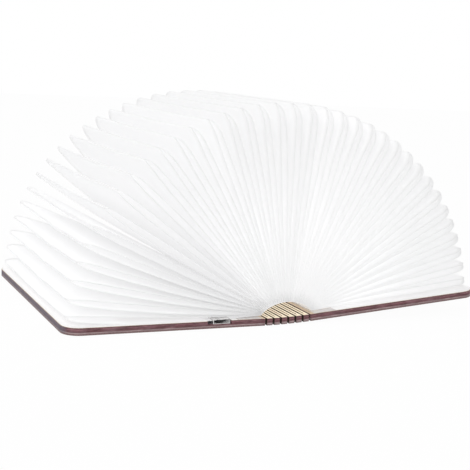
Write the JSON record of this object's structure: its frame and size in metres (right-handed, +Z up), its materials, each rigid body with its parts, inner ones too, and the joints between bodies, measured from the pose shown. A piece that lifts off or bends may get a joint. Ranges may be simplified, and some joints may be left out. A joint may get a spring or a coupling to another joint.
{
  "type": "folding book lamp",
  "caption": "Wooden book lamp lying open: two covers on a sawn flexible spine with an accordion of white paper folds fanned between them over hidden LED strips.",
  "frame": {"origin": "on the table, under the middle of the open lamp's bounding box", "axes": "+X from the spine to the right cover, +Y along the spine away from the edge with the charging socket, +Z up"},
  "size_m": [0.1912, 0.12, 0.0918],
  "materials": {
    "cover_wood": "satin",
    "outer_veneer": "satin",
    "spine_wood": "matte",
    "paper": "matte",
    "cell_foil": "satin",
    "lead_insulation": "satin",
    "board_green": "gloss",
    "chip_black": "matte",
    "socket_metal": "polished",
    "socket_plastic": "matte",
    "strip_white": "satin",
    "led_phosphor": "gloss",
    "magnet_nickel": "polished"
  },
  "bodies": {
    "left_cover": {"left_cover": "cover_wood", "left_skin": "outer_veneer", "left_end_leaf": "paper", "battery": "cell_foil", "battery_leads": "lead_insulation", "circuit_board": "board_green", "board_parts": "chip_black", "usb_shell": "socket_metal", "usb_tongue": "socket_plastic", "led_strip_left": "strip_white", "leds_left": "led_phosphor", "magnets_left": "magnet_nickel"},
    "slat_1": {"spine_slat_1": "spine_wood", "page_06": "paper"},
    "slat_2": {"spine_slat_2": "spine_wood", "page_11": "paper"},
    "slat_3": {"spine_slat_3": "spine_wood", "page_16": "paper"},
    "slat_4": {"spine_slat_4": "spine_wood", "page_21": "paper"},
    "slat_5": {"spine_slat_5": "spine_wood", "page_26": "paper"},
    "slat_6": {"spine_slat_6": "spine_wood", "page_31": "paper"},
    "right_cover": {"right_cover": "cover_wood", "right_skin": "outer_veneer", "right_end_leaf": "paper", "led_strip_right": "strip_white", "leds_right": "led_phosphor", "magnets_right": "magnet_nickel"},
    "page_01": {"page_01": "paper"},
    "page_02": {"page_02": "paper"},
    "page_03": {"page_03": "paper"},
    "page_04": {"page_04": "paper"},
    "page_05": {"page_05": "paper"},
    "page_07": {"page_07": "paper"},
    "page_08": {"page_08": "paper"},
    "page_09": {"page_09": "paper"},
    "page_10": {"page_10": "paper"},
    "page_12": {"page_12": "paper"},
    "page_13": {"page_13": "paper"},
    "page_14": {"page_14": "paper"},
    "page_15": {"page_15": "paper"},
    "page_17": {"page_17": "paper"},
    "page_18": {"page_18": "paper"},
    "page_19": {"page_19": "paper"},
    "page_20": {"page_20": "paper"},
    "page_22": {"page_22": "paper"},
    "page_23": {"page_23": "paper"},
    "page_24": {"page_24": "paper"},
    "page_25": {"page_25": "paper"},
    "page_27": {"page_27": "paper"},
    "page_28": {"page_28": "paper"},
    "page_29": {"page_29": "paper"},
    "page_30": {"page_30": "paper"},
    "page_32": {"page_32": "paper"},
    "page_33": {"page_33": "paper"},
    "page_34": {"page_34": "paper"},
    "page_35": {"page_35": "paper"},
    "page_36": {"page_36": "paper"}
  },
  "joints": [
    {"name": "kerf_1", "type": "hinge", "parent": "left_cover", "child": "slat_1", "pos_m": [-0.0101, 0, 0.0015], "axis": [0, 1, 0], "range_deg": [-25, 27.4]},
    {"name": "kerf_2", "type": "hinge", "parent": "slat_1", "child": "slat_2", "pos_m": [-0.0067, 0, 0.00154], "axis": [0, 1, 0], "range_deg": [-25, 27.4]},
    {"name": "kerf_3", "type": "hinge", "parent": "slat_2", "child": "slat_3", "pos_m": [-0.0033, 0, 0.00162], "axis": [0, 1, 0], "range_deg": [-25, 27.4]},
    {"name": "kerf_4", "type": "hinge", "parent": "slat_3", "child": "slat_4", "pos_m": [0.0001, 0, 0.00175], "axis": [0, 1, 0], "range_deg": [-25, 27.4]},
    {"name": "kerf_5", "type": "hinge", "parent": "slat_4", "child": "slat_5", "pos_m": [0.0035, 0, 0.00192], "axis": [0, 1, 0], "range_deg": [-25, 27.4]},
    {"name": "kerf_6", "type": "hinge", "parent": "slat_5", "child": "slat_6", "pos_m": [0.00689, 0, 0.00212], "axis": [0, 1, 0], "range_deg": [-25, 27.4]},
    {"name": "kerf_7", "type": "hinge", "parent": "slat_6", "child": "right_cover", "pos_m": [0.01028, 0, 0.00237], "axis": [0, 1, 0], "range_deg": [-25, 27.4]},
    {"name": "fold_01", "type": "hinge", "parent": "left_cover", "child": "page_01", "pos_m": [-0.01163, 0, 0.0015], "axis": [0, 1, 0], "range_deg": [-2.6, 2.84]},
    {"name": "fold_02", "type": "hinge", "parent": "left_cover", "child": "page_02", "pos_m": [-0.01132, 0, 0.0015], "axis": [0, 1, 0], "range_deg": [-7.1, 7.77]},
    {"name": "fold_03", "type": "hinge", "parent": "left_cover", "child": "page_03", "pos_m": [-0.01101, 0, 0.0015], "axis": [0, 1, 0], "range_deg": [-11.6, 12.7]},
    {"name": "fold_04", "type": "hinge", "parent": "slat_1", "child": "page_04", "pos_m": [-0.00901, 0, 0.00151], "axis": [0, 1, 0], "range_deg": [-9.96, 9.1]},
    {"name": "fold_05", "type": "hinge", "parent": "slat_1", "child": "page_05", "pos_m": [-0.0087, 0, 0.00152], "axis": [0, 1, 0], "range_deg": [-5.03, 4.6]},
    {"name": "fold_07", "type": "hinge", "parent": "slat_1", "child": "page_07", "pos_m": [-0.00806, 0, 0.00152], "axis": [0, 1, 0], "range_deg": [-5.1, 5.58]},
    {"name": "fold_08", "type": "hinge", "parent": "slat_1", "child": "page_08", "pos_m": [-0.00772, 0, 0.00153], "axis": [0, 1, 0], "range_deg": [-10.1, 11.06]},
    {"name": "fold_09", "type": "hinge", "parent": "slat_2", "child": "page_09", "pos_m": [-0.00568, 0, 0.00157], "axis": [0, 1, 0], "range_deg": [-11.06, 10.1]},
    {"name": "fold_10", "type": "hinge", "parent": "slat_2", "child": "page_10", "pos_m": [-0.00534, 0, 0.00157], "axis": [0, 1, 0], "range_deg": [-5.58, 5.1]},
    {"name": "fold_12", "type": "hinge", "parent": "slat_2", "child": "page_12", "pos_m": [-0.00466, 0, 0.00159], "axis": [0, 1, 0], "range_deg": [-5.1, 5.58]},
    {"name": "fold_13", "type": "hinge", "parent": "slat_2", "child": "page_13", "pos_m": [-0.00432, 0, 0.0016], "axis": [0, 1, 0], "range_deg": [-10.1, 11.06]},
    {"name": "fold_14", "type": "hinge", "parent": "slat_3", "child": "page_14", "pos_m": [-0.00228, 0, 0.00166], "axis": [0, 1, 0], "range_deg": [-11.06, 10.1]},
    {"name": "fold_15", "type": "hinge", "parent": "slat_3", "child": "page_15", "pos_m": [-0.00194, 0, 0.00167], "axis": [0, 1, 0], "range_deg": [-5.58, 5.1]},
    {"name": "fold_17", "type": "hinge", "parent": "slat_3", "child": "page_17", "pos_m": [-0.00126, 0, 0.0017], "axis": [0, 1, 0], "range_deg": [-5.1, 5.58]},
    {"name": "fold_18", "type": "hinge", "parent": "slat_3", "child": "page_18", "pos_m": [-0.00092, 0, 0.00171], "axis": [0, 1, 0], "range_deg": [-10.1, 11.06]},
    {"name": "fold_19", "type": "hinge", "parent": "slat_4", "child": "page_19", "pos_m": [0.00112, 0, 0.0018], "axis": [0, 1, 0], "range_deg": [-11.06, 10.1]},
    {"name": "fold_20", "type": "hinge", "parent": "slat_4", "child": "page_20", "pos_m": [0.00146, 0, 0.00182], "axis": [0, 1, 0], "range_deg": [-5.58, 5.1]},
    {"name": "fold_22", "type": "hinge", "parent": "slat_4", "child": "page_22", "pos_m": [0.00214, 0, 0.00185], "axis": [0, 1, 0], "range_deg": [-5.1, 5.58]},
    {"name": "fold_23", "type": "hinge", "parent": "slat_4", "child": "page_23", "pos_m": [0.00248, 0, 0.00187], "axis": [0, 1, 0], "range_deg": [-10.1, 11.06]},
    {"name": "fold_24", "type": "hinge", "parent": "slat_5", "child": "page_24", "pos_m": [0.00451, 0, 0.00198], "axis": [0, 1, 0], "range_deg": [-11.06, 10.1]},
    {"name": "fold_25", "type": "hinge", "parent": "slat_5", "child": "page_25", "pos_m": [0.00485, 0, 0.002], "axis": [0, 1, 0], "range_deg": [-5.58, 5.1]},
    {"name": "fold_27", "type": "hinge", "parent": "slat_5", "child": "page_27", "pos_m": [0.00553, 0, 0.00204], "axis": [0, 1, 0], "range_deg": [-5.1, 5.58]},
    {"name": "fold_28", "type": "hinge", "parent": "slat_5", "child": "page_28", "pos_m": [0.00587, 0, 0.00206], "axis": [0, 1, 0], "range_deg": [-10.1, 11.06]},
    {"name": "fold_29", "type": "hinge", "parent": "slat_6", "child": "page_29", "pos_m": [0.00791, 0, 0.0022], "axis": [0, 1, 0], "range_deg": [-11.06, 10.1]},
    {"name": "fold_30", "type": "hinge", "parent": "slat_6", "child": "page_30", "pos_m": [0.00825, 0, 0.00222], "axis": [0, 1, 0], "range_deg": [-5.58, 5.1]},
    {"name": "fold_32", "type": "hinge", "parent": "slat_6", "child": "page_32", "pos_m": [0.00889, 0, 0.00227], "axis": [0, 1, 0], "range_deg": [-4.6, 5.03]},
    {"name": "fold_33", "type": "hinge", "parent": "slat_6", "child": "page_33", "pos_m": [0.0092, 0, 0.00229], "axis": [0, 1, 0], "range_deg": [-9.1, 9.96]},
    {"name": "fold_34", "type": "hinge", "parent": "right_cover", "child": "page_34", "pos_m": [0.0112, 0, 0.00245], "axis": [0, 1, 0], "range_deg": [-12.7, 11.6]},
    {"name": "fold_35", "type": "hinge", "parent": "right_cover", "child": "page_35", "pos_m": [0.0115, 0, 0.00248], "axis": [0, 1, 0], "range_deg": [-7.77, 7.1]},
    {"name": "fold_36", "type": "hinge", "parent": "right_cover", "child": "page_36", "pos_m": [0.01181, 0, 0.0025], "axis": [0, 1, 0], "range_deg": [-2.84, 2.6]}
  ],
  "couplings": [
    {"joint": "kerf_2", "follows": "kerf_1", "ratio": 1},
    {"joint": "kerf_3", "follows": "kerf_1", "ratio": 1},
    {"joint": "kerf_4", "follows": "kerf_1", "ratio": 1},
    {"joint": "kerf_5", "follows": "kerf_1", "ratio": 1},
    {"joint": "kerf_6", "follows": "kerf_1", "ratio": 1},
    {"joint": "kerf_7", "follows": "kerf_1", "ratio": 1},
    {"joint": "fold_01", "follows": "kerf_1", "ratio": 0.1},
    {"joint": "fold_02", "follows": "kerf_1", "ratio": 0.28},
    {"joint": "fold_03", "follows": "kerf_1", "ratio": 0.46},
    {"joint": "fold_04", "follows": "kerf_1", "ratio": -0.36},
    {"joint": "fold_05", "follows": "kerf_1", "ratio": -0.18},
    {"joint": "fold_07", "follows": "kerf_1", "ratio": 0.2},
    {"joint": "fold_08", "follows": "kerf_1", "ratio": 0.4},
    {"joint": "fold_09", "follows": "kerf_1", "ratio": -0.4},
    {"joint": "fold_10", "follows": "kerf_1", "ratio": -0.2},
    {"joint": "fold_12", "follows": "kerf_1", "ratio": 0.2},
    {"joint": "fold_13", "follows": "kerf_1", "ratio": 0.4},
    {"joint": "fold_14", "follows": "kerf_1", "ratio": -0.4},
    {"joint": "fold_15", "follows": "kerf_1", "ratio": -0.2},
    {"joint": "fold_17", "follows": "kerf_1", "ratio": 0.2},
    {"joint": "fold_18", "follows": "kerf_1", "ratio": 0.4},
    {"joint": "fold_19", "follows": "kerf_1", "ratio": -0.4},
    {"joint": "fold_20", "follows": "kerf_1", "ratio": -0.2},
    {"joint": "fold_22", "follows": "kerf_1", "ratio": 0.2},
    {"joint": "fold_23", "follows": "kerf_1", "ratio": 0.4},
    {"joint": "fold_24", "follows": "kerf_1", "ratio": -0.4},
    {"joint": "fold_25", "follows": "kerf_1", "ratio": -0.2},
    {"joint": "fold_27", "follows": "kerf_1", "ratio": 0.2},
    {"joint": "fold_28", "follows": "kerf_1", "ratio": 0.4},
    {"joint": "fold_29", "follows": "kerf_1", "ratio": -0.4},
    {"joint": "fold_30", "follows": "kerf_1", "ratio": -0.2},
    {"joint": "fold_32", "follows": "kerf_1", "ratio": 0.18},
    {"joint": "fold_33", "follows": "kerf_1", "ratio": 0.36},
    {"joint": "fold_34", "follows": "kerf_1", "ratio": -0.46},
    {"joint": "fold_35", "follows": "kerf_1", "ratio": -0.28},
    {"joint": "fold_36", "follows": "kerf_1", "ratio": -0.1}
  ]
}
